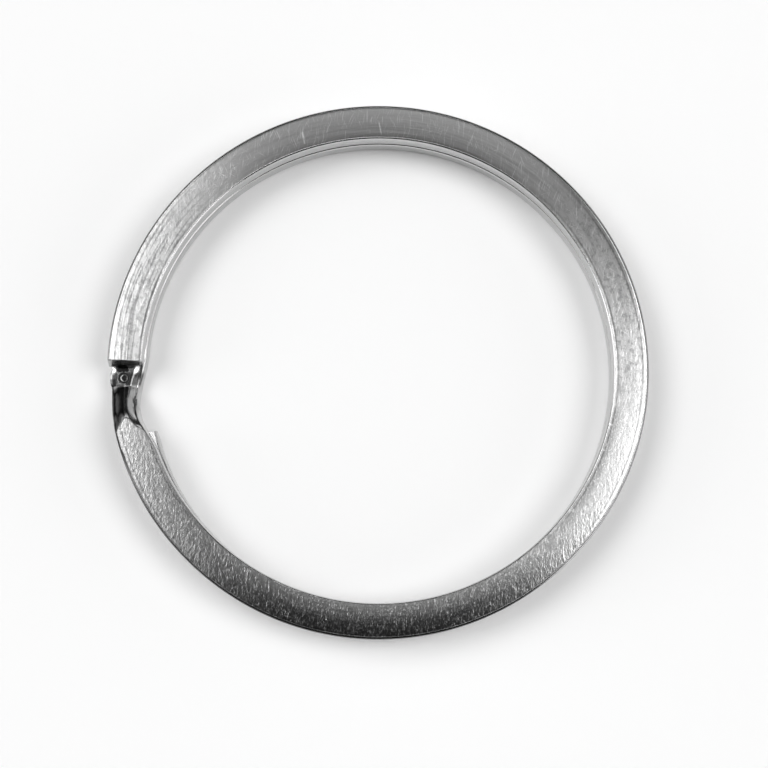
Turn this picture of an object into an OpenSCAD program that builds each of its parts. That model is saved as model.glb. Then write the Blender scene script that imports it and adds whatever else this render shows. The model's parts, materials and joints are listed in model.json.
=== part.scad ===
// Flat split key ring: one length of flat spring wire with rounded edges, wound
// into two turns that lie on each other. A short ramp, the joggle, lifts the wire
// from the lower turn to the upper one, and its inner side is pressed in to a neck
// there. Both cut ends are free. The ring lies on z = 0 and its axis is +Z.
// Angles run counter-clockwise from +X, and lengths along the wire are measured
// on its middle line.

/* [Ring] */
// Outer diameter of the ring
ring_d = 32; // [26:0.5:38]
// Gap between the two turns, along the ring's axis
turn_gap = 0.08; // [0.05:0.01:0.3]

/* [Wire] */
// Width of the wire, from the ring's inside to its outside
wire_w = 2.1; // [1.5:0.1:2.6]
// Thickness of the wire, along the ring's axis
wire_t = 1.25; // [0.9:0.05:1.5]
// Rounding of the wire's two inner edges
inner_edge_r = 0.2; // [0.1:0.05:0.4]
// Width of the rounding of its two outer edges, across the wire
outer_edge_w = 0.3; // [0.1:0.05:0.4]
// Depth of that rounding, along the ring's axis
outer_edge_h = 0.15; // [0.1:0.05:0.4]

/* [Joggle] */
// Angle at which the ramp's foot lies
foot_angle = 183.4; // [150:0.1:210]
// Slope of the ramp
ramp_slope = 35; // [28:1:45]
// Radius of the wire's middle plane in the ramp's two bends
bend_r = 0.9; // [0.8:0.05:1.2]

/* [Neck] */
// Depth to which the wire's inner side is pressed in
neck_depth = 0.6; // [0.1:0.05:0.8]
// Length of the neck along the wire
neck_l = 6.8; // [5:0.1:9]
// Length along the wire from the ramp's foot to the neck's deepest place
neck_from_foot = 1.4; // [0.8:0.05:3]
// Lean of the neck's flank, which is pressed deepest at its top
neck_lean = 7; // [0:1:12]

/* [Cut ends] */
// Length along the wire from the upper turn's end to the ramp's foot
upper_end_gap = 1.1; // [0.8:0.05:3]
// Length along the wire from the ramp's head to the lower turn's end
lower_end_gap = 0.8; // [0.5:0.05:3]
// Lean of the two cuts, which the shear leaves parallel
cut_lean = 14; // [0:1:25]

/* [Spring of the ends] */
// Length of the upper turn's end that is sprung outward
upper_sprung_l = 12; // [8:0.5:20]
// Radius of that end's middle line beyond the ring's own
upper_sprung_extra = 0.3; // [0:0.05:0.6]
// Length of the lower turn's end that is sprung inward
lower_sprung_l = 12; // [8:0.5:20]
// Radius by which that end's middle line is tighter than the ring's own
lower_sprung_less = 0.6; // [0:0.05:1]

/* [Hidden] */
$fn = 180;
corner_steps = 4;
bend_steps = 4;
ramp_steps = 3;
lead_steps = 9;

// The joggle and the sprung ends each start this far inside the plain turns, and
// are finer than them by the seam all round, so that all join into one solid.
overlap = 0.4;
seam = 0.01;

mid_r = (ring_d - wire_w) / 2;
pitch = wire_t + turn_gap;
cut_reach = wire_w + wire_t;

// Lengths along the wire from the ramp's foot
bend_l = bend_r * sin(ramp_slope);
bend_rise = bend_r * (1 - cos(ramp_slope));
straight_l = (pitch - 2 * bend_rise) / tan(ramp_slope);
head_l = 2 * bend_l + straight_l;
neck_start = neck_from_foot - neck_l / 2;
neck_end = neck_from_foot + neck_l / 2;
joggle_start = min(neck_start, -wire_t / 2);
joggle_end = max(neck_end, head_l + wire_t / 2);
upper_end = 2 * PI * mid_r - upper_end_gap;
lower_end = head_l + lower_end_gap;

// Angle round the ring of a length along the wire from the ramp's foot
function wire_angle(l) = foot_angle + arc_angle(l);
function arc_angle(l) = l / mid_r * 180 / PI;

// Outline of the wire's section, as [distance outward, height] from its middle:
// finer by trim all round, with its inner side pressed in by inset, most at the top.
function corner(cx, cz, w, h, start) = [
    for (i = [0 : corner_steps])
        let (a = start + 90 * i / corner_steps)
            [cx + w * cos(a), cz + h * sin(a)]
];
function wire_section(trim = 0, inset = 0) =
    let (
        outer = wire_w / 2 - trim - outer_edge_w,
        outer_side = wire_t / 2 - trim - outer_edge_h,
        inner = inset + inner_edge_r + trim - wire_w / 2,
        inner_side = wire_t / 2 - trim - inner_edge_r,
        lean = inner_side * tan(neck_lean) * inset / neck_depth
    )
    concat(
        corner(outer, outer_side, outer_edge_w, outer_edge_h, 0),
        corner(inner + lean, inner_side, inner_edge_r, inner_edge_r, 90),
        corner(inner - lean, -inner_side, inner_edge_r, inner_edge_r, 180),
        corner(outer, -outer_side, outer_edge_w, outer_edge_h, 270)
    );

// Height, slope and inset of the wire at a length l from the ramp's foot
function lift(l) =
    l <= 0 ? 0 :
    l < bend_l ? bend_r - sqrt(bend_r * bend_r - l * l) :
    l < head_l - bend_l ? bend_rise + (l - bend_l) * tan(ramp_slope) :
    l < head_l ? pitch - lift(head_l - l) :
    pitch;
function slope(l) =
    l <= 0 || l >= head_l ? 0 : asin(min(l, head_l - l, bend_l) / bend_r);
function inset(l) =
    l <= neck_start || l >= neck_end ? 0 :
    neck_depth * (1 + cos(360 * (l - neck_from_foot) / neck_l)) / 2;

// The wire's section at a length l from the ramp's foot, square to its slope
function station(l) = [
    for (p = wire_section(seam, inset(l)))
        let (
            a = wire_angle(l - p.y * sin(slope(l))),
            r = mid_r + p.x
        )
        [r * cos(a), r * sin(a), wire_t / 2 + lift(l) + p.y * cos(slope(l))]
];
function steps(from, to, n) = [for (i = [0 : n - 1]) from + (to - from) * i / n];

// The stretch of wire that climbs from the lower turn to the upper one
module joggle() {
    lengths = concat(
        steps(joggle_start - overlap, 0, lead_steps),
        steps(0, bend_l, bend_steps),
        steps(bend_l, head_l - bend_l, ramp_steps),
        steps(head_l - bend_l, head_l, bend_steps),
        steps(head_l, joggle_end + overlap, lead_steps),
        [joggle_end + overlap]
    );
    rings = len(lengths);
    sides = len(wire_section());
    last = (rings - 1) * sides;
    points = [for (l = lengths, p = station(l)) p];
    walls = [
        for (i = [0 : rings - 2], j = [0 : sides - 1])
            let (a = i * sides + j, b = i * sides + (j + 1) % sides)
                each [[a, b, b + sides], [a, b + sides, a + sides]]
    ];
    caps = [
        [for (j = [sides - 1 : -1 : 0]) j],
        [for (j = [0 : sides - 1]) last + j]
    ];
    polyhedron(points, concat(walls, caps));
}

// A stretch of plain wire between two lengths from the ramp's foot. Its middle
// line has radius r, and it runs on without a kink at the length called tangent.
module turn(from, to, level, tangent = 0, r = mid_r, trim = 0) {
    a = wire_angle(tangent);
    centre = mid_r - r;
    first = a + (from - tangent) / r * 180 / PI;
    sweep = (to - from) / r * 180 / PI;
    translate([centre * cos(a), centre * sin(a), level + wire_t / 2])
        rotate([0, 0, first])
            rotate_extrude(angle = sweep)
                translate([r, 0])
                    polygon(wire_section(trim));
}

// What the shear takes off beyond a cut. The cut crosses the wire's middle at
// length l, and side is 1 where the waste lies onward along the wire, else -1.
module shear_waste(l, level, side) {
    rotate([0, 0, wire_angle(l)])
        translate([mid_r, 0, level + wire_t / 2])
            rotate([cut_lean, 0, 0])
                translate([-cut_reach, side > 0 ? 0 : -2 * cut_reach, -cut_reach])
                    cube(2 * cut_reach);
}

// The two cut ends, each sprung away from the ring's circle and sheared off
module lower_cut_end() {
    root = lower_end + lower_sprung_l;
    difference() {
        turn(lower_end - cut_reach / 2, root + overlap, 0,
            tangent = root, r = mid_r - lower_sprung_less, trim = seam);
        shear_waste(lower_end, 0, -1);
    }
}

module upper_cut_end() {
    root = upper_end - upper_sprung_l;
    difference() {
        turn(root - overlap, upper_end + cut_reach / 2, pitch,
            tangent = root, r = mid_r + upper_sprung_extra, trim = seam);
        shear_waste(upper_end, pitch, 1);
    }
}

module split_ring() {
    color("silver")
        union() {
            lower_cut_end();
            turn(lower_end + lower_sprung_l, 2 * PI * mid_r + joggle_start, 0);
            joggle();
            turn(joggle_end, upper_end - upper_sprung_l, pitch);
            upper_cut_end();
        }
}

split_ring();
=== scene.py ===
import json
import math

import bpy
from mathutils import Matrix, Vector


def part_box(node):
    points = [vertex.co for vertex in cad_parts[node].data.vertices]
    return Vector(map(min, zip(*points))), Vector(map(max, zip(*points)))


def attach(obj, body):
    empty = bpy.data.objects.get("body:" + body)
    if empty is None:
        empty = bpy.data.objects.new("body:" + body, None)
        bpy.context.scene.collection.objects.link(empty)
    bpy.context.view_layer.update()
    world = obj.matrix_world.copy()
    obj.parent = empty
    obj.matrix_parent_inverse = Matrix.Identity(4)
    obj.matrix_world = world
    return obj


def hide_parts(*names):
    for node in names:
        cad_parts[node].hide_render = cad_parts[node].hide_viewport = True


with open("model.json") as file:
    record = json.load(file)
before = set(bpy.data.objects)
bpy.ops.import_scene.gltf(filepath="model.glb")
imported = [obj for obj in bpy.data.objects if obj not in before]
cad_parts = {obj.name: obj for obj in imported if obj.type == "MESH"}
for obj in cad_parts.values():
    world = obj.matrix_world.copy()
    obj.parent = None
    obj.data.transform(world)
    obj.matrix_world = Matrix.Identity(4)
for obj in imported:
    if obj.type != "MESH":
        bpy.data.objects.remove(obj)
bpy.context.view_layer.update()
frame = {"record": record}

MM = 0.001
NODE = "split_ring"

# ---------------------------------------------------------------- sizes, in metres
LOW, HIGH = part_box(NODE)
EYE = next(m for m in frame["record"]["mounts"] if m["name"] == "eye")
EYE_R = EYE["dims"]["r_mm"] * MM
OUTER_R = HIGH[0]
HEIGHT = HIGH[2] - LOW[2]
TURN_GAP = 0.08 * MM
WIRE_W = OUTER_R - EYE_R
WIRE_T = (HEIGHT - TURN_GAP) / 2
MID_R = OUTER_R - WIRE_W / 2
PITCH = WIRE_T + TURN_GAP
INNER_EDGE = 0.2 * MM
OUTER_EDGE_W = 0.3 * MM
OUTER_EDGE_H = 0.15 * MM
FACE_W = WIRE_W - INNER_EDGE - OUTER_EDGE_W
FACE_MID_R = EYE_R + INNER_EDGE + FACE_W / 2

# The joggle: where its ramp starts, how steep it is and how tight its bends are
FOOT_ANGLE = math.radians(183.4)
RAMP_SLOPE = math.radians(35)
BEND_R = 0.9 * MM
BEND_L = BEND_R * math.sin(RAMP_SLOPE)
BEND_RISE = BEND_R * (1 - math.cos(RAMP_SLOPE))
HEAD_L = 2 * BEND_L + (PITCH - 2 * BEND_RISE) / math.tan(RAMP_SLOPE)

# The neck that is pressed into the wire's inner side there
NECK_DEPTH = 0.6 * MM
NECK_L = 6.8 * MM
NECK_AT = 1.4 * MM
NECK_LEAN = math.radians(7)

# How the joggle's die leaves the wire: crowned on top, and with a short flat
# squeezed out beside the ramp's foot
CROWN = 0.15 * MM
CROWN_LIMIT = 1.3
CROWN_RISE = 0.015 * MM
CROWN_FADE_L = 1.2 * MM
SQUEEZED_L = 0.8 * MM
SQUEEZED_OUT = 0.07 * MM
SQUEEZED_UP = 0.8 * OUTER_EDGE_H
SQUEEZED_START = (0, 0.08 * MM)
SQUEEZED_STOP = (0.1 * MM - SQUEEZED_L, -SQUEEZED_L)

# The flank that the neck's die leaves along the upper inner edge, and how far
# it runs before the ramp's foot and past it: in full, and until it has gone
FLANK_W = 0.36 * MM
FLANK_H = 0.28 * MM
FLANK_BEFORE = (0.1 * MM, 1.7 * MM)
FLANK_PAST = (1.1 * MM, HEAD_L + MM)

# The small ring-shaped mark beside the ramp's foot
MARK_AT = (-15.24 * MM, -0.48 * MM, WIRE_T)
MARK_R = 0.2 * MM
MARK_W = 0.15 * MM
MARK_STEPS = (48, 20)
MARK_TILT = math.radians(8)

# What the finishing takes off the upper face
GROUND_OFF = 0.006 * MM

# The two cut ends, and how far each is sprung away from the ring's circle
UPPER_END_GAP = 1.1 * MM
LOWER_END_GAP = 0.8 * MM
CUT_LEAN = math.radians(14)
SPRUNG_L = 12 * MM
UPPER_SPRUNG_R = MID_R + 0.27 * MM
LOWER_SPRUNG_R = MID_R - 0.6 * MM
UPPER_END = 2 * math.pi * MID_R - UPPER_END_GAP
LOWER_END = HEAD_L + LOWER_END_GAP

# What the shear leaves: how far in and how deep each step of a cut's rounding
# goes, the corner that it rolls back and the edge that it draws down
CUT_ROUNDING = [(0.03 * MM, 0.02 * MM), (0.05 * MM, 0.01 * MM), (0.15 * MM, 0.01 * MM)]
ROLL_OVER = 0.45 * MM
ROLLED_FROM = 0.2 * MM
DROOP = 0.2 * MM
DROOP_W = 0.65 * MM
DROOP_L = 2.4 * MM

# ---------------------------------------------------------------- camera
PICTURE = 768
SENSOR = 36.0
FOCAL_PX = 1834.1
CAMERA_DISTANCE = 111 * MM
CAMERA_TILT = math.radians(8.64)
AIM_RIGHT = 0.321 * MM
AIM_UP = -0.652 * MM


def make_camera():
    data = bpy.data.cameras.new("camera")
    data.sensor_width = SENSOR
    data.lens = FOCAL_PX * SENSOR / PICTURE
    cam = bpy.data.objects.new("camera", data)
    bpy.context.scene.collection.objects.link(cam)
    back = Vector((0, -math.sin(CAMERA_TILT), math.cos(CAMERA_TILT)))
    up = Vector((0, math.cos(CAMERA_TILT), math.sin(CAMERA_TILT)))
    cam.location = Vector((AIM_RIGHT, 0, 0)) + AIM_UP * up + CAMERA_DISTANCE * back
    cam.rotation_euler = (CAMERA_TILT, 0, 0)
    data.clip_start = 0.01
    data.clip_end = 10
    bpy.context.scene.camera = cam


make_camera()


# ---------------------------------------------------------------- modelling helpers
def deselect():
    if bpy.context.object and bpy.context.object.mode != "OBJECT":
        bpy.ops.object.mode_set(mode="OBJECT")
    bpy.ops.object.select_all(action="DESELECT")


def edit(obj):
    """Opens obj alone in edit mode."""
    deselect()
    obj.select_set(True)
    bpy.context.view_layer.objects.active = obj
    bpy.ops.object.mode_set(mode="EDIT")
    bpy.ops.mesh.select_mode(type="VERT")


def pick(obj, wanted):
    """Selects the vertices for which wanted(place) is true, and nothing else."""
    bpy.ops.mesh.select_mode(type="VERT")
    bpy.ops.mesh.select_all(action="DESELECT")
    bpy.ops.object.mode_set(mode="OBJECT")
    obj.data.vertices.foreach_set("select", [wanted(v.co) for v in obj.data.vertices])
    bpy.ops.object.mode_set(mode="EDIT")


def turn(angle, axis="Z", centre=(0, 0, 0)):
    """Turns what is selected by the right-hand rule."""
    bpy.ops.transform.rotate(
        value=-angle, orient_axis=axis, orient_type="GLOBAL", center_override=centre
    )


def press(obj, axis, depth, weight):
    """Presses the surface along an axis, by depth times the weight of each place."""
    bpy.ops.object.mode_set(mode="OBJECT")
    group = obj.vertex_groups.new(name="pressed")
    for v in obj.data.vertices:
        share = weight(v.co)
        if share > 0:
            group.add([v.index], share, "REPLACE")
    die = obj.modifiers.new("die", "DISPLACE")
    die.direction = axis
    die.mid_level = 0
    die.strength = depth
    die.vertex_group = group.name
    bpy.ops.object.modifier_apply(modifier=die.name)
    obj.vertex_groups.clear()
    bpy.ops.object.mode_set(mode="EDIT")


def angle_of(place):
    return math.atan2(place[1], place[0])


def radius_of(place):
    return math.hypot(place.x, place.y)


def share_of(value):
    """Holds a value between 0 and 1."""
    return min(max(value, 0), 1)


def apart(a, b):
    """The signed angle from b to a."""
    return (a - b + math.pi) % (2 * math.pi) - math.pi


# ---------------------------------------------------------------- the wire
CORNER_STEPS = 8
FACE_STRIPS = 16
WALL_STRIPS = 4
NECK_IN_STEPS = 14
BEND_STEPS = 8
RAMP_STEPS = 8
NECK_OUT_STEPS = 18
SPIN_STEP = math.radians(1)
SAME_PLACE = 0.001 * MM
SMOOTH_BELOW = math.radians(35)
LEVEL_EDGE = WIRE_T + TURN_GAP / 2
# The cut faces are the only ones with more corners than this
MOST_CORNERS = 20


def wire_angle(l):
    return FOOT_ANGLE + l / MID_R


def ramp_lift(l):
    if l <= 0:
        return 0.0
    if l < BEND_L:
        return BEND_R - math.sqrt(BEND_R**2 - l**2)
    if l < HEAD_L - BEND_L:
        return BEND_RISE + (l - BEND_L) * math.tan(RAMP_SLOPE)
    if l < HEAD_L:
        return PITCH - ramp_lift(HEAD_L - l)
    return PITCH


def ramp_slope(l):
    if l <= 0 or l >= HEAD_L:
        return 0.0
    return math.asin(min(l, HEAD_L - l, BEND_L) / BEND_R)


def steps(start, stop, count):
    return [start + (stop - start) * (i + 1) / count for i in range(count)]


def split_long_edges(obj, low, high, count):
    """Cuts the outline's edges that are between low and high long into strips."""
    bpy.ops.object.mode_set(mode="OBJECT")
    bpy.ops.object.mode_set(mode="EDIT")
    bpy.ops.mesh.select_mode(type="EDGE")
    bpy.ops.mesh.select_all(action="DESELECT")
    bpy.ops.object.mode_set(mode="OBJECT")
    places = [v.co.copy() for v in obj.data.vertices]
    for e in obj.data.edges:
        a, b = e.vertices
        e.select = low < (places[a] - places[b]).length < high
    bpy.ops.object.mode_set(mode="EDIT")
    bpy.ops.mesh.subdivide(number_cuts=count - 1)
    bpy.ops.mesh.select_mode(type="VERT")


def wire_section():
    """The outline of the wire's section, standing on the floor at +X."""
    deselect()
    bpy.ops.mesh.primitive_plane_add(
        size=1, location=(MID_R, 0, WIRE_T / 2), rotation=(math.pi / 2, 0, 0)
    )
    obj = bpy.context.object
    obj.name = "ring_wire"
    obj.scale = (WIRE_W, WIRE_T, 1)
    bpy.ops.object.transform_apply(location=True, rotation=True, scale=True)
    edit(obj)
    pick(obj, lambda v: v.x < MID_R)
    bpy.ops.mesh.bevel(offset=INNER_EDGE, segments=CORNER_STEPS, profile=0.5, affect="VERTICES")
    pick(obj, lambda v: v.x > MID_R)
    bpy.ops.mesh.bevel(offset=OUTER_EDGE_W, segments=CORNER_STEPS, profile=0.5, affect="VERTICES")
    for level in (0, WIRE_T):
        pick(obj, lambda v: v.x > OUTER_R - OUTER_EDGE_W and abs(v.z - level) < WIRE_T / 2)
        bpy.ops.transform.resize(
            value=(1, 1, OUTER_EDGE_H / OUTER_EDGE_W), center_override=(MID_R, 0, level)
        )
    bpy.ops.mesh.select_all(action="SELECT")
    bpy.ops.mesh.delete(type="ONLY_FACE")
    wall = WIRE_T - 2 * INNER_EDGE
    split_long_edges(obj, (FACE_W + wall) / 2, WIRE_W, FACE_STRIPS)
    split_long_edges(obj, wall / 2, (FACE_W + wall) / 2, WALL_STRIPS)
    return obj


def grow_joggle(obj):
    """Draws the wire on through the joggle. Its end stays at +X, and the rest turns away."""
    start = NECK_AT - NECK_L / 2
    lengths = (
        steps(start, 0, NECK_IN_STEPS)
        + steps(0, BEND_L, BEND_STEPS)
        + steps(BEND_L, HEAD_L - BEND_L, RAMP_STEPS)
        + steps(HEAD_L - BEND_L, HEAD_L, BEND_STEPS)
        + steps(HEAD_L, NECK_AT + NECK_L / 2, NECK_OUT_STEPS)
    )
    bpy.ops.mesh.select_all(action="SELECT")
    last = start
    for l in lengths:
        bpy.ops.mesh.extrude_region_move()
        bpy.ops.mesh.select_all(action="INVERT")
        turn((last - l) / MID_R)
        bpy.ops.mesh.select_all(action="INVERT")
        turn(ramp_slope(l) - ramp_slope(last), "X", (MID_R, 0, WIRE_T / 2 + ramp_lift(last)))
        bpy.ops.transform.translate(value=(0, 0, ramp_lift(l) - ramp_lift(last)))
        last = l
    bpy.ops.mesh.select_all(action="SELECT")
    turn((last - NECK_AT) / MID_R)


def press_neck(obj):
    """Presses the inner side of the joggle in, with its deepest place at +X."""
    face_out = OUTER_R - OUTER_EDGE_W

    def weight(place):
        along = MID_R * angle_of(place) / (NECK_L / 2)
        if abs(along) >= 1:
            return 0.0
        from_outside = share_of((face_out - radius_of(place)) / FACE_W)
        middle = WIRE_T / 2 + ramp_lift(MID_R * angle_of(place) + NECK_AT)
        lean = 1 + math.tan(NECK_LEAN) * (place.z - middle) / NECK_DEPTH
        return from_outside * (1 + math.cos(math.pi * along)) / 2 * lean

    press(obj, "X", NECK_DEPTH, weight)


def fade(value, start, stop):
    """1 up to start, 0 from stop on, and smooth between them, whichever is larger."""
    share = share_of((value - stop) / (start - stop))
    return share * share * (3 - 2 * share)


def press_joggle(obj):
    """Gives the joggle the crown, the flank and the squeezed edge that its dies leave."""
    half = WIRE_W / 2 - OUTER_EDGE_W
    top = WIRE_T / 2 - INNER_EDGE

    def length_at(place):
        return MID_R * angle_of(place) + NECK_AT

    def top_share(place):
        height = place.z - WIRE_T / 2 - ramp_lift(length_at(place))
        return share_of(height / top)

    def inset_at(l):
        return NECK_DEPTH * fade(abs(l - NECK_AT), 0, NECK_L / 2)

    def rise(place):
        l = length_at(place)
        beyond_head = fade(l, HEAD_L + CROWN_FADE_L, HEAD_L + 1.5 * CROWN_FADE_L)
        return top_share(place) * fade(l, BEND_L, 0) * beyond_head

    def fall(place):
        l = length_at(place)
        inset = inset_at(l)
        share = (radius_of(place) - MID_R - inset / 2) / (half - inset / 2)
        at_head = fade(l, HEAD_L - CROWN_FADE_L / 3, HEAD_L + CROWN_FADE_L / 3)
        down = min(share**2, CROWN_LIMIT) / CROWN_LIMIT
        return top_share(place) * fade(l, BEND_L, 0) * at_head * down

    def flank(place):
        l = length_at(place)
        border = EYE_R + INNER_EDGE + inset_at(l)
        across = share_of((border + FLANK_W - radius_of(place)) / FLANK_W)
        return top_share(place) * across * fade(-l, *FLANK_BEFORE) * fade(l, *FLANK_PAST)

    def bulge(place):
        l = length_at(place)
        beyond = max(radius_of(place) - MID_R - half, 0)
        below_top = WIRE_T - place.z + ramp_lift(l)
        along = fade(abs(l + SQUEEZED_L / 2), SQUEEZED_L / 6, SQUEEZED_L * 0.7)
        return along * beyond / OUTER_EDGE_W * fade(below_top, WIRE_T / 3, WIRE_T * 2 / 3)

    def squeeze(place):
        l = length_at(place)
        height = place.z - ramp_lift(l)
        beyond = radius_of(place) - MID_R - half
        if beyond <= 0 or height < WIRE_T / 2:
            return 0.0
        along = fade(l, *SQUEEZED_START) * fade(l, *SQUEEZED_STOP)
        return along * (WIRE_T - height) / OUTER_EDGE_H

    press(obj, "Z", SQUEEZED_UP, squeeze)
    press(obj, "X", SQUEEZED_OUT, bulge)
    press(obj, "Z", -FLANK_H, flank)
    press(obj, "Z", CROWN_RISE, rise)
    press(obj, "Z", -CROWN_LIMIT * CROWN, fall)


def grind(obj, level):
    """Takes off what stands above a level, and leaves a crisp edge round the ground face."""
    pick(obj, lambda v: v.z > level - INNER_EDGE)
    bpy.ops.mesh.bisect(
        plane_co=(0, 0, level), plane_no=(0, 0, 1), threshold=GROUND_OFF / 100
    )
    bpy.ops.mesh.mark_sharp()
    pick(obj, lambda v: v.z > level)
    bpy.ops.transform.resize(value=(1, 1, 0), center_override=(0, 0, level))


def spin(angle, centre=(0, 0, 0)):
    """Carries the selected open end round a centre, counter-clockwise for a positive angle."""
    count = round(abs(angle) / SPIN_STEP)
    bpy.ops.mesh.spin(steps=count, angle=-angle, center=centre, axis=(0, 0, 1))


def shear_off(obj, place, along, side):
    """Cuts the end stretch off with a leaning blade, and closes the cut."""
    blade = along * math.cos(CUT_LEAN) + Vector((0, 0, math.sin(CUT_LEAN)))

    def near(v):
        off = v - place
        at_cut = abs(off.dot(along)) < 0.6 * WIRE_T and off.length < WIRE_W
        return at_cut and abs(off.z) < LEVEL_EDGE / 2

    pick(obj, near)
    bpy.ops.mesh.bisect(
        plane_co=place,
        plane_no=blade,
        use_fill=True,
        clear_outer=side > 0,
        clear_inner=side < 0,
    )


def grow_turn(obj, start, l, level, side, end_radius):
    """Carries the joggle's open end at length start on round the ring, past its cut at length l.

    Gives the middle of the cut and the wire's direction there."""
    root = l - side * SPRUNG_L
    middle = level + WIRE_T / 2

    def is_open_end(v):
        at_end = abs(apart(angle_of(v), wire_angle(start))) < SPIN_STEP / 100
        return at_end and abs(v.z - middle) < LEVEL_EDGE / 2

    pick(obj, is_open_end)
    spin((root - start) / MID_R)
    a = wire_angle(root)
    lean = MID_R - end_radius
    centre = Vector((lean * math.cos(a), lean * math.sin(a), middle))
    spin(side * (SPRUNG_L + WIRE_T / 2) / end_radius, centre)
    angle = a + (l - root) / end_radius
    place = centre + end_radius * Vector((math.cos(angle), math.sin(angle), 0))
    return place, Vector((-math.sin(angle), math.cos(angle), 0))


def round_cuts(obj):
    """Rounds the edges of both cut faces a little."""
    bpy.ops.mesh.select_mode(type="FACE")
    bpy.ops.mesh.select_all(action="DESELECT")
    bpy.ops.object.mode_set(mode="OBJECT")
    for face in obj.data.polygons:
        face.select = len(face.vertices) > MOST_CORNERS
    bpy.ops.object.mode_set(mode="EDIT")
    bpy.ops.mesh.remove_doubles(threshold=CUT_ROUNDING[0][0] / 3)
    for thickness, depth in CUT_ROUNDING:
        bpy.ops.mesh.inset(thickness=thickness, depth=depth)


def roll_over(obj, place, along):
    """Pulls back the cut's lower inner corner, where the blade went in."""

    def weight(v):
        behind = (place - v).dot(along)
        inner = share_of((MID_R + ROLLED_FROM - radius_of(v)) / (WIRE_W / 2))
        low = share_of((place.z + WIRE_T / 4 - v.z) / (WIRE_T * 3 / 4))
        if abs(v.z - place.z) > LEVEL_EDGE / 2 or abs(behind) > 2 * WIRE_T:
            return 0.0
        return fade(behind, WIRE_T / 4, WIRE_T) * inner**2 * low

    press(obj, "Y", ROLL_OVER, weight)


def droop(obj, place, along):
    """Draws the lower end's upper inner edge down, near its cut."""
    inner_r = radius_of(place) - WIRE_W / 2

    def weight(v):
        ahead = (v - place).dot(along)
        inner = share_of((inner_r + DROOP_W - radius_of(v)) / DROOP_W)
        high = share_of((v.z - place.z) / (WIRE_T / 2 - INNER_EDGE))
        if abs(v.z - place.z) > LEVEL_EDGE / 2 or abs(ahead) > DROOP_L:
            return 0.0
        return fade(ahead, DROOP_L / 2, DROOP_L) * inner * high

    press(obj, "Z", -DROOP, weight)


def mark(obj):
    """Sinks the small ring-shaped mark beside the ramp's foot."""
    deselect()
    bpy.ops.mesh.primitive_torus_add(
        location=MARK_AT,
        major_radius=MARK_R,
        minor_radius=MARK_W / 2,
        major_segments=MARK_STEPS[0],
        minor_segments=MARK_STEPS[1],
    )
    die = bpy.context.object
    edit(die)
    bpy.ops.transform.rotate(value=MARK_TILT, orient_axis="Y", center_override=MARK_AT)
    deselect()
    bpy.context.view_layer.objects.active = obj
    obj.select_set(True)
    sunk = obj.modifiers.new("mark", "BOOLEAN")
    sunk.operation = "DIFFERENCE"
    sunk.solver = "EXACT"
    sunk.object = die
    bpy.ops.object.modifier_apply(modifier=sunk.name)
    bpy.data.objects.remove(die)


def make_wire():
    obj = wire_section()
    grow_joggle(obj)
    press_neck(obj)
    press_joggle(obj)
    bpy.ops.mesh.select_all(action="SELECT")
    turn(wire_angle(NECK_AT))
    lap = 2 * math.pi * MID_R
    upper = grow_turn(obj, NECK_AT + NECK_L / 2, UPPER_END, PITCH, 1, UPPER_SPRUNG_R)
    lower = grow_turn(obj, NECK_AT - NECK_L / 2, LOWER_END - lap, 0, -1, LOWER_SPRUNG_R)
    bpy.ops.mesh.select_all(action="SELECT")
    bpy.ops.mesh.remove_doubles(threshold=SAME_PLACE)
    grind(obj, HEIGHT - GROUND_OFF)
    shear_off(obj, *upper, 1)
    shear_off(obj, *lower, -1)
    bpy.ops.mesh.select_all(action="SELECT")
    bpy.ops.mesh.normals_make_consistent(inside=False)
    roll_over(obj, *upper)
    droop(obj, *lower)
    round_cuts(obj)
    bpy.ops.object.mode_set(mode="OBJECT")
    mark(obj)
    bpy.ops.object.shade_smooth_by_angle(angle=SMOOTH_BELOW, keep_sharp_edges=True)
    return obj


ring = make_wire()
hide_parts(NODE)
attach(ring, "root")


# ---------------------------------------------------------------- floor and light
FLOOR_SIZE = 4.0
FLOOR_LEVEL = 0.98
SURROUND_LEVEL = 0.02


def grey(level):
    return (level, level, level, 1)


def make_floor():
    deselect()
    bpy.ops.mesh.primitive_plane_add(size=FLOOR_SIZE, location=(0, 0, 0))
    floor = bpy.context.object
    floor.name = "floor"
    bpy.ops.object.transform_apply(location=True)
    mat = bpy.data.materials.new("pale_floor")
    mat.use_nodes = True
    bsdf = mat.node_tree.nodes["Principled BSDF"]
    bsdf.inputs["Base Color"].default_value = grey(FLOOR_LEVEL)
    bsdf.inputs["Roughness"].default_value = 1
    bsdf.inputs["Specular IOR Level"].default_value = 0
    floor.data.materials.append(mat)


# Round softboxes far off: where each stands, in degrees, and how bright it is
SOFTBOX_SIZE = math.radians(34)
SOFTBOXES = [
    ("right_high", 0, 55, 4.8),
    ("right_low", 0, 15, 1.15),
    ("right_front_low", 330, 15, 1.9),
    ("right_back_low", 30, 15, 0.7),
    ("back_right_high", 60, 55, 0.15),
    ("back_high", 90, 55, 0.7),
    ("overhead", 45, 75, 0.2),
    ("left_back_high", 150, 55, 3.05),
    ("left_back", 150, 35, 0.9),
    ("left_high", 180, 55, 2.35),
    ("left_low", 180, 15, 2.5),
    ("left_front_low", 210, 15, 0.15),
]


def softbox(name, azimuth, elevation, brightness):
    data = bpy.data.lights.new(name, "SUN")
    data.angle = SOFTBOX_SIZE
    data.energy = brightness * math.pi * math.sin(SOFTBOX_SIZE / 2) ** 2
    lamp = bpy.data.objects.new(name, data)
    bpy.context.scene.collection.objects.link(lamp)
    a, e = math.radians(azimuth), math.radians(elevation)
    back = Vector((math.cos(a) * math.cos(e), math.sin(a) * math.cos(e), math.sin(e)))
    lamp.rotation_euler = back.to_track_quat("Z", "Y").to_euler()


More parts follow.
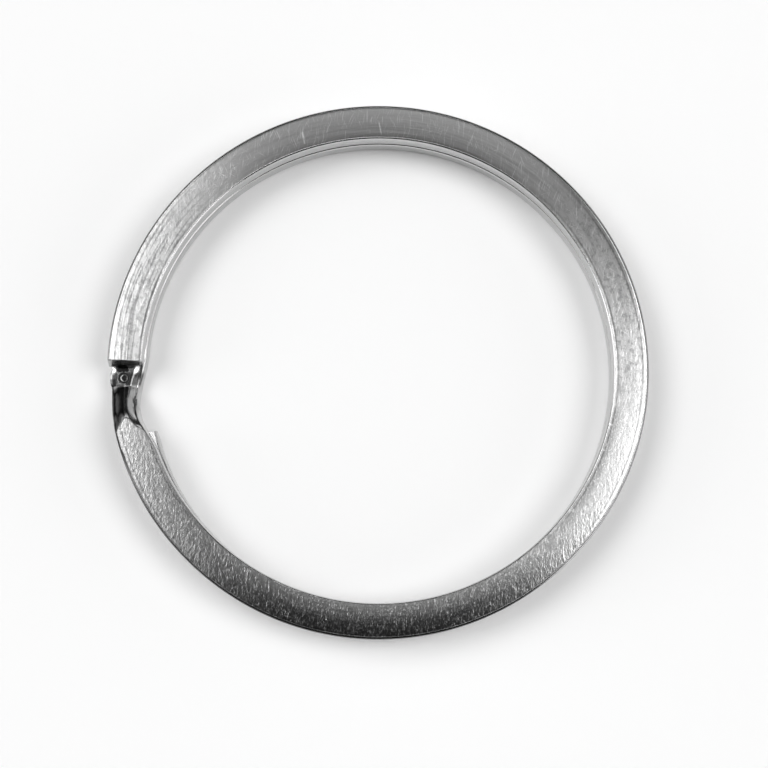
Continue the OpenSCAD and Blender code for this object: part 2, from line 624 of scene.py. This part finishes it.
def make_light():
    for name, azimuth, elevation, brightness in SOFTBOXES:
        softbox(name, azimuth, elevation, brightness)
    world = bpy.data.worlds.new("studio")
    bpy.context.scene.world = world
    world.use_nodes = True
    background = world.node_tree.nodes["Background"]
    background.inputs["Color"].default_value = grey(SURROUND_LEVEL)


make_floor()
make_light()
bpy.context.scene.view_settings.view_transform = "Standard"


# ---------------------------------------------------------------- materials
class Sock:
    """A node's output. Arithmetic on it adds Math nodes."""

    def __init__(self, paint, out):
        self.paint = paint
        self.out = out

    def math(self, operation, *others):
        inputs = dict(enumerate((self,) + others))
        return self.paint.node("ShaderNodeMath", {"operation": operation}, inputs)

    def flipped(self, operation, other):
        return self.paint.node("ShaderNodeMath", {"operation": operation}, {0: other, 1: self})

    def __add__(self, other):
        return self.math("ADD", other)

    __radd__ = __add__

    def __mul__(self, other):
        return self.math("MULTIPLY", other)

    __rmul__ = __mul__

    def __sub__(self, other):
        return self.math("SUBTRACT", other)

    def __rsub__(self, other):
        return self.flipped("SUBTRACT", other)

    def __truediv__(self, other):
        return self.math("DIVIDE", other)

    def __rtruediv__(self, other):
        return self.flipped("DIVIDE", other)

    def __pow__(self, other):
        return self.math("POWER", other)

    def __abs__(self):
        return self.math("ABSOLUTE")

    def __neg__(self):
        return self * -1

    def ramp(self, low, high):
        """0 up to low, 1 from high on, and smooth between them."""
        settings = {"interpolation_type": "SMOOTHSTEP"}
        inputs = {"Value": self, "From Min": low, "From Max": high}
        return self.paint.node("ShaderNodeMapRange", settings, inputs)

    def bell(self, width):
        """1 at 0, and 0 from width on, either way."""
        return 1 - abs(self).ramp(0, width)


class Paint:
    """One material and its nodes."""

    def __init__(self, name):
        self.material = bpy.data.materials.new(name)
        self.material.use_nodes = True
        self.tree = self.material.node_tree
        self.shader = self.tree.nodes["Principled BSDF"]

    def node(self, kind, settings=None, inputs=None, out=0):
        """Adds a node: its type, its settings, then the values or links of its sockets."""
        new = self.tree.nodes.new(kind)
        for name, value in (settings or {}).items():
            setattr(new, name, value)
        for name, value in (inputs or {}).items():
            self.feed(new.inputs[name], value)
        return Sock(self, new.outputs[out])

    def feed(self, socket, value):
        if isinstance(value, Sock):
            self.tree.links.new(value.out, socket)
        else:
            socket.default_value = value

    def set(self, **values):
        for name, value in values.items():
            self.feed(self.shader.inputs[name.replace("_", " ")], value)

    def blend(self, other, share):
        """Shows the main shader by share, and another one for the rest."""
        output = next(n for n in self.tree.nodes if n.type == "OUTPUT_MATERIAL")
        main = Sock(self, self.shader.outputs[0])
        both = self.node("ShaderNodeMixShader", inputs={0: share, 1: other, 2: main})
        self.feed(output.inputs["Surface"], both)

    def place(self):
        """The place on the object in millimetres: along X, along Y and up."""
        where = self.node("ShaderNodeTexCoord", out="Object")
        scaled = {0: where, "Scale": 1 / MM}
        where = self.node("ShaderNodeVectorMath", {"operation": "SCALE"}, scaled)
        parts = self.node("ShaderNodeSeparateXYZ", inputs={0: where})
        outputs = parts.out.node.outputs
        return [Sock(self, outputs[i]) for i in range(3)]

    def vector(self, x, y, z=0.0):
        return self.node("ShaderNodeCombineXYZ", inputs={0: x, 1: y, 2: z})

    def noise(self, vector, detail=2.0, rough=0.5, w=None):
        settings = {"noise_dimensions": "3D" if w is None else "4D"}
        inputs = {"Vector": vector, "Scale": 1.0, "Detail": detail, "Roughness": rough}
        if w is not None:
            inputs["W"] = w
        return self.node("ShaderNodeTexNoise", settings, inputs)

    def mix(self, share, low, high):
        """A colour between two."""
        settings = {"data_type": "RGBA"}
        inputs = {"Factor": share, 6: low, 7: high}
        return self.node("ShaderNodeMix", settings, inputs, out=2)

    def tone(self, value):
        """A grey of a level that varies."""
        return self.mix(value, grey(0), grey(1))

    def bump(self, height, depth, under=None):
        """Relief of the given depth in millimetres, on top of the relief under it."""
        inputs = {"Height": height, "Distance": depth * MM}
        if under is not None:
            inputs["Normal"] = under
        return self.node("ShaderNodeBump", inputs=inputs)


# ---------------------------------------------------------------- the ring's material
# Lengths are in millimetres here. A pair of values is where a mask starts and where
# it has come in fully. Tones that are taken off are shares of the tone there.
CIRCLE_R = MID_R / MM
SECTION_T = WIRE_T / MM
TURN_RISE = PITCH / MM
RAMP_L = HEAD_L / MM
RIM_R = (OUTER_R - OUTER_EDGE_W) / MM
RIM_Z = (HEIGHT - OUTER_EDGE_H) / MM
FACE_Z = (HEIGHT - GROUND_OFF) / MM

# Where on the ring a tone lies, by the sine or the cosine of the place's angle
AT_FRONT = (0.6, 1.0)
TOWARD_FRONT = (0.0, 0.3)
AT_SIDES = (0.6, 0.9)
AT_LEFT = (0.0, 0.8)
SMOOTH_AT = math.radians(75)
SMOOTHER = (0.35, 0.8)
OFF_FACE = (0.003, 0.02)

# Streaks along the wire: the width, length and detail of each kind
BROAD = (0.3, 8.0, 1.0)
BANDS = (0.13, 2.6, 2.0)
FINE = (0.11, 0.55, 2.0)

# Spotted noise: its size in X and in Y, its detail and its roughness
BLOTCHES = (0.14, 0.4, 2.0, 0.6)
# the specks are painted glints
GLINT_SPECKS = (0.09, 0.17, 2.0, 0.5)
PATCHES = (0.22, 0.28, 3.0, 0.65)

# Fine scratches: the direction in degrees, length, width and where their noise starts
SCRATCHES = [
    (86, 1.2, 0.07, 0.61),
    (68, 1.3, 0.07, 0.63),
    (112, 1.0, 0.07, 0.65),
    (20, 0.9, 0.07, 0.68),
    (150, 1.2, 0.07, 0.68),
]
SCRATCH_FADE = 0.1

# The two deep scratches near the back: both ends of each. They are sunk as relief and painted
# lighter as glints.
GOUGES = [((0.01, 14.98), (0.18, 14.12)), ((-4.61, 14.38), (-4.45, 13.55))]
GOUGE_W = 0.07
GOUGE_END = 0.1

# Relief: how far the face's crown falls, and how deep each kind of mark is
FACE_CROWN = 0.035
FACE_SHOULDER = 0.008
BROAD_DEPTH = 0.014
BANDS_DEPTH = 0.008
BLOTCHES_DEPTH = 0.012
FINE_DEPTH = 0.006
SCRATCHES_DEPTH = 0.0008
GOUGES_DEEPER = 4
LEAST_BLOTCHES = 0.3
LEAST_FINE = 0.3

# Tones of the face, what each kind of mark and each painted shade takes off them, and the painted
# glints
FACE_TONE = 0.48 * 1.06
# the lighter grey of the painted glints on the specks and the deep scratches
GLINT_TONE = 0.85
# painted glints: the fine scratches lighter than the face around them
SCRATCH_GLINT_MORE = 0.4
# painted glints: light specks on the faces toward the front
GLINT_SPECKS_SHARE, GLINT_SPECKS_RANGE = 0.38, (0.5, 0.74)
# painted shade: the faces darker at the left front
LEFT_FRONT_SHADE = 0.34
BANDS_LESS, BANDS_RANGE = 0.04, (0.35, 0.55)
BANDS_LESS_SIDES, BANDS_LESS_LEFT, BANDS_FRONT_OFF = 0.25, 0.15, 0.8
PATCHES_LESS, PATCHES_RANGE = 0.32, (0.36, 0.56)
# painted shade: dark lines along both edges of the faces at the sides
EDGE_SHADE_AT, EDGE_SHADE_W, EDGE_SHADE_LESS = (14.17, 15.63), 0.1, 0.5
# painted shade: a grey band along the faces' inner side at the right front
INSIDE_SHADE_LESS, INSIDE_SHADE_RANGE, INSIDE_SHADE_RIGHT = 0.4, (14.3, 14.75), (0.6, 0.9)
# painted shade: the faces darker toward the front, and most so at their outer side
FRONT_SHADE, FRONT_SHADE_MORE, FRONT_SHADE_RANGE = 0.34, 0.5, (14.2, 15.3)

# Tones of the drawn edges and walls, and the painted shade on the top of the outer rounding at the
# front and at the sides
DRAWN_TONE = 0.55
DRAWN_STREAKS, DRAWN_RANGE = 0.06, (0.3, 0.7)
FRONT_RIM_SHADE, FRONT_RIM = 0.7, (RIM_R - 0.05, RIM_R)
SIDE_RIM_SHADE, SIDE_RIM = 0.55, (RIM_R + 0.1, RIM_R + 0.2)
RIM_TOP = (RIM_Z - 0.1, RIM_Z)

# Painted shade on the joggle, beside its dirt: each stretch's strength and the radii where it
# starts, then where it starts and stops along the wire from the ramp's foot, and how soft it is
# there
GRIME_AND_SHADE_LESS = 0.88
DIRT_SHADOW_WOBBLE = 0.25
AT_JOGGLE = (8, 11)
JOGGLE_SHADE = [
    (1.0, (RIM_R - 0.02, RIM_R + 0.05), (-0.3, 3.5, 0.3, 2.9)),
    (1.0, (15.2, 15.3), (0.1, 2.45, 0.2, 0.4)),
    (0.75, (15.6, 15.68), (-0.68, -0.1, 0.1, 0.15)),
]
FLANK_SHADE, FLANK_SHADE_LESS, FLANK_FOOT = 0.9, 0.5, (-0.05, 0.15)
FLANK_INSIDE, FLANK_STRETCH = (15.1, 15.2), (-0.58, 1.65, 0.35, 0.6)
DARKENED_DEPTH = (0.15, 0.3)
DARKENED_DEEPER, DEEPER_INSIDE = 0.25, (15.0, 15.2)
# a ragged patch at the ramp's foot: partly dirt, partly painted shadow of the upper cut end
DIRT_SHADOW_AT, DIRT_SHADOW_W, DIRT_SHADOW_H, DIRT_SHADOW_EDGE = (-15.32, 0.03), 0.4, 0.2, (0.7, 1.2)

# Painted shade in the mark's pit, left out on a bright hook in it
PIT_SHADE_EDGE = (0.3, 0.4)
HOOK_R, HOOK_W, HOOK_SIDE = 0.15, 0.07, (0, 0.06)


def most(first, *others):
    """The largest of some masks at each place."""
    for other in others:
        first = first.math("MAXIMUM", other)
    return first


class Steel:
    """The ring's material. It holds the masks and the noise that several parts of it use."""

    def __init__(self):
        self.paint = Paint("plated_steel")
        self.x, self.y, self.z = self.paint.place()
        self.r = (self.x * self.x + self.y * self.y).math("SQRT")
        self.round_x, self.round_y = self.x / self.r, self.y / self.r
        self.at_front = (-self.round_y).ramp(*AT_FRONT)
        self.toward_front = (-self.round_y).ramp(*TOWARD_FRONT)
        self.at_sides = abs(self.round_x).ramp(*AT_SIDES)
        self.on_rim = self.z.ramp(*RIM_TOP)
        # the faces that were ground and brushed, against the drawn edges and the joggle
        self.faced = most(self.at_height(FACE_Z), self.at_height(0))
        self.broad = self.streaks(*BROAD)
        self.bands = self.streaks(*BANDS)
        self.fine = self.streaks(*FINE)
        self.blotches = self.spots(*BLOTCHES)
        self.scratched = most(*[self.scratches(*each) for each in SCRATCHES])
        self.gouged = most(*[self.gouge(*ends) for ends in GOUGES])

    def at_height(self, height):
        return 1 - abs(self.z - height).ramp(*OFF_FACE)

    def streaks(self, width, length, detail):
        """Noise that is drawn out along the wire."""
        across, along = 1 / width, CIRCLE_R / length
        x, y = self.round_x * along, self.round_y * along
        where = self.paint.vector(self.r * across, x, y)
        return self.paint.noise(where, detail=detail, w=self.z * across)

    def spots(self, wide, high, detail, rough):
        where = self.paint.vector(self.x / wide, self.y / high, self.z)
        return self.paint.noise(where, detail=detail, rough=rough)

    def scratches(self, degrees, length, width, start):
        """Short scratches across the faces, all in one direction."""
        c, s = math.cos(math.radians(degrees)), math.sin(math.radians(degrees))
        along, across = self.x * c + self.y * s, self.y * c - self.x * s
        where = self.paint.vector(along / length, across / width, float(degrees))
        return self.paint.noise(where, detail=1.0).ramp(start, start + SCRATCH_FADE)

    def gouge(self, start, stop):
        """One deep scratch."""
        length = math.dist(start, stop)
        c, s = (stop[0] - start[0]) / length, (stop[1] - start[1]) / length
        x, y = self.x - start[0], self.y - start[1]
        along, across = x * c + y * s, y * c - x * s
        inside = 1 - abs(along - length / 2).ramp(length / 2 - GOUGE_END, length / 2)
        return across.bell(GOUGE_W) * inside

    def relief(self):
        """The face's slight crown, with the streaks, blotches and scratches on it."""
        # the faces are scuffed most away from the back
        toward_back = self.round_x * math.cos(SMOOTH_AT) + self.round_y * math.sin(SMOOTH_AT)
        scuffed = 1 - toward_back.ramp(*SMOOTHER)
        blotched = LEAST_BLOTCHES + scuffed + self.toward_front
        off_middle = (self.r - FACE_MID_R / MM) / (FACE_W / 2 / MM)
        square = off_middle * off_middle
        fall = square * FACE_CROWN + square**4 * FACE_SHOULDER
        marks = [
            (fall * self.faced, -1.0),
            (self.broad, BROAD_DEPTH),
            (self.bands * self.faced, BANDS_DEPTH),
            (self.blotches * self.faced * blotched, BLOTCHES_DEPTH),
            (self.fine * (LEAST_FINE + (1 - LEAST_FINE) * self.faced), FINE_DEPTH),
            ((self.scratched + self.gouged * GOUGES_DEEPER) * self.faced, -SCRATCHES_DEPTH),
        ]
        under = None
        for height, depth in marks:
            under = self.paint.bump(height, depth, under)
        return under

    def face_colour(self):
        off_front = 1 - self.toward_front
        # painted shade along the faces' edges at the sides
        edge_shade = most(*[(self.r - at).bell(EDGE_SHADE_W) for at in EDGE_SHADE_AT]) * self.at_sides
        patchy = PATCHES_LESS * (1 - self.spots(*PATCHES).ramp(*PATCHES_RANGE))
        # painted shade on the inner side at the right front
        inside = self.toward_front * self.round_x.ramp(*INSIDE_SHADE_RIGHT)
        banded = self.at_sides * (BANDS_LESS_SIDES - BANDS_LESS_LEFT * self.round_x)
        banded = BANDS_LESS + banded * (1 - BANDS_FRONT_OFF * self.toward_front)
        taken_off = [
            # painted shade at the left front
            LEFT_FRONT_SHADE * (self.toward_front * (-self.round_x).ramp(*AT_LEFT)),
            (1 - self.bands.ramp(*BANDS_RANGE)) * banded,
            EDGE_SHADE_LESS * edge_shade,
            # painted shade over the front of the faces
            self.at_front * (FRONT_SHADE + FRONT_SHADE_MORE * self.r.ramp(*FRONT_SHADE_RANGE)),
            patchy * self.at_sides * off_front,
            INSIDE_SHADE_LESS * (1 - self.r.ramp(*INSIDE_SHADE_RANGE)) * inside,
        ]
        # the fine scratches are sunk as relief and painted lighter, as glints
        tone = FACE_TONE * (1 + SCRATCH_GLINT_MORE * self.scratched)
        for share in taken_off:
            tone = tone * (1 - share)
        # painted glints: light specks toward the front, and the two deep scratches, in a lighter
        # grey
        glint_specks = self.spots(*GLINT_SPECKS).ramp(*GLINT_SPECKS_RANGE) * self.toward_front * GLINT_SPECKS_SHARE
        return self.paint.mix(most(glint_specks, self.gouged), self.paint.tone(tone), grey(GLINT_TONE))

    def grime_and_shade(self):
        """Dirt and painted shade on the top of the joggle: painted shade on its outer rounding,
        ramp and flank and in the mark's pit, and dirt with painted shadow at the ramp's foot.
        """
        foot_x, foot_y = math.cos(FOOT_ANGLE), math.sin(FOOT_ANGLE)
        from_foot = (self.round_y * foot_x - self.round_x * foot_y) * CIRCLE_R
        top = SECTION_T + TURN_RISE * from_foot.ramp(0, RAMP_L)
        deeper = DARKENED_DEEPER * (1 - self.r.ramp(*DEEPER_INSIDE))
        on_top = 1 - (top - self.z - deeper).ramp(*DARKENED_DEPTH)

        def stretch(start, stop, soft_start, soft_stop):
            """1 between two lengths from the ramp's foot, and 0 beyond its soft ends."""
            started = from_foot.ramp(start - soft_start, start)
            return started * (1 - from_foot.ramp(stop, stop + soft_stop))

        # painted shade on the joggle's outer rounding, on its ramp and on its outer side before the
        # foot
        joggle_shade = [
            strength * self.r.ramp(*radii) * stretch(*lengths) for strength, radii, lengths in JOGGLE_SHADE
        ]
        # painted shade on the flank
        on_flank = (1 - self.r.ramp(*FLANK_INSIDE)) * stretch(*FLANK_STRETCH)
        on_flank = on_flank * (FLANK_SHADE - FLANK_SHADE_LESS * from_foot.ramp(*FLANK_FOOT))
        at_joggle = (-self.x).ramp(*AT_JOGGLE)
        return most(self.pit_shade(), self.dirt_and_shadow(), on_flank, *joggle_shade) * at_joggle * on_top

    def pit_shade(self):
        """Painted shade in the small ring-shaped mark's pit, left out on a hook in it."""
        x, y = self.x - MARK_AT[0] / MM, self.y - MARK_AT[1] / MM
        from_mark = (x * x + y * y).math("SQRT")
        hook = (from_mark - HOOK_R).bell(HOOK_W) * (-x).ramp(*HOOK_SIDE)
        return (1 - from_mark.ramp(*PIT_SHADE_EDGE)) * (1 - hook)

    def dirt_and_shadow(self):
        """A ragged dark patch at the ramp's foot, in front of the upper cut end: partly dirt,
        partly painted shadow of that end.
        """
        wobbly_x = self.x + (self.blotches - 0.5) * DIRT_SHADOW_WOBBLE
        wobbly_y = self.y + (self.fine - 0.5) * DIRT_SHADOW_WOBBLE
        across, along = (wobbly_x - DIRT_SHADOW_AT[0]) / DIRT_SHADOW_W, (wobbly_y - DIRT_SHADOW_AT[1]) / DIRT_SHADOW_H
        return 1 - (across * across + along * along).ramp(*DIRT_SHADOW_EDGE)

    def drawn_colour(self):
        tone = DRAWN_TONE + DRAWN_STREAKS * self.fine.ramp(*DRAWN_RANGE)
        # painted shade on the top of the outer rounding, at the front and at the sides
        front_rim = self.at_front * self.r.ramp(*FRONT_RIM) * self.on_rim
        side_rim = self.r.ramp(*SIDE_RIM) * self.at_sides * self.on_rim
        taken_off = [
            # dirt and painted shade on the joggle
            GRIME_AND_SHADE_LESS * self.grime_and_shade(),
            FRONT_RIM_SHADE * front_rim,
            SIDE_RIM_SHADE * side_rim,
        ]
        for share in taken_off:
            tone = tone * (1 - share)
        return self.paint.tone(tone)

    def make(self):
        """Brushed steel on the faces and drawn steel elsewhere."""
        relief = self.relief()
        self.paint.set(
            Base_Color=self.face_colour(),
            Metallic=1.0,
            Roughness=0.32,
            Anisotropic=0.8,
            Anisotropic_Rotation=0.25,
            Normal=relief,
        )
        drawn = {
            "Base Color": self.drawn_colour(),
            "Metallic": 1.0,
            "Roughness": 0.2,
            "Normal": relief,
        }
        drawn = self.paint.node("ShaderNodeBsdfPrincipled", inputs=drawn)
        self.paint.blend(drawn, self.faced)
        return self.paint.material


ring.data.materials.clear()
ring.data.materials.append(Steel().make())
